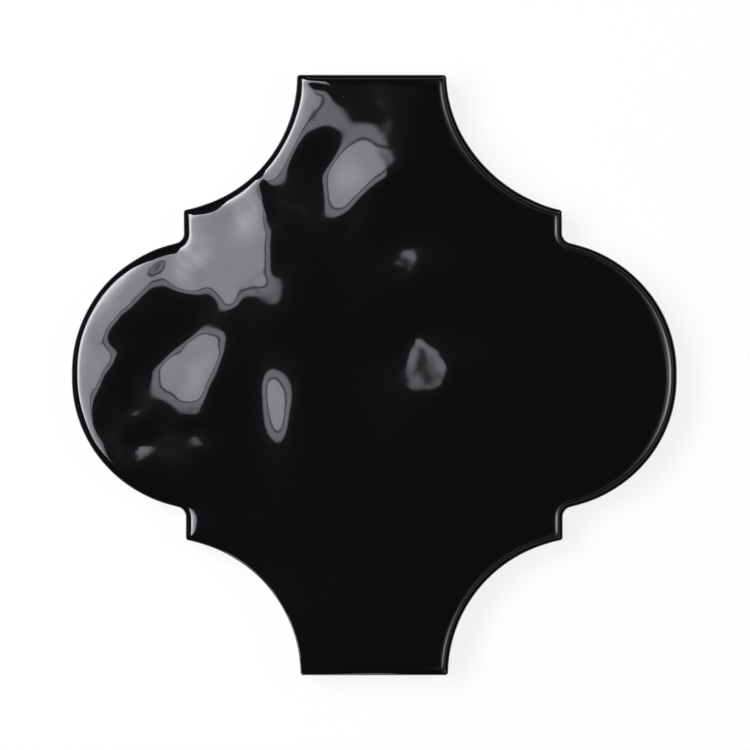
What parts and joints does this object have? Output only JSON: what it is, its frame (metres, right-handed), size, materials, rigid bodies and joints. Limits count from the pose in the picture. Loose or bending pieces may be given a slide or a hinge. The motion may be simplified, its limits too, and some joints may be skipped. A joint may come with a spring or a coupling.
{
  "type": "arabesque tile",
  "caption": "Lantern-shaped ceramic wall tile with round lobes, hollow corners and small steps that nest with its neighbours; glossy black rippled glaze.",
  "frame": {"origin": "middle of the bedding face on the back", "axes": "+X across the two lobes, the tile's longer way; +Y along the waist, towards one straight edge; +Z out of the glazed face, with the back on Z = 0"},
  "size_m": [0.1206, 0.1196, 0.0095],
  "materials": {
    "black_glaze": "glossy black glaze over a fired clay body"
  },
  "bodies": {
    "root": {"arabesque_tile": "black_glaze"}
  },
  "joints": []
}
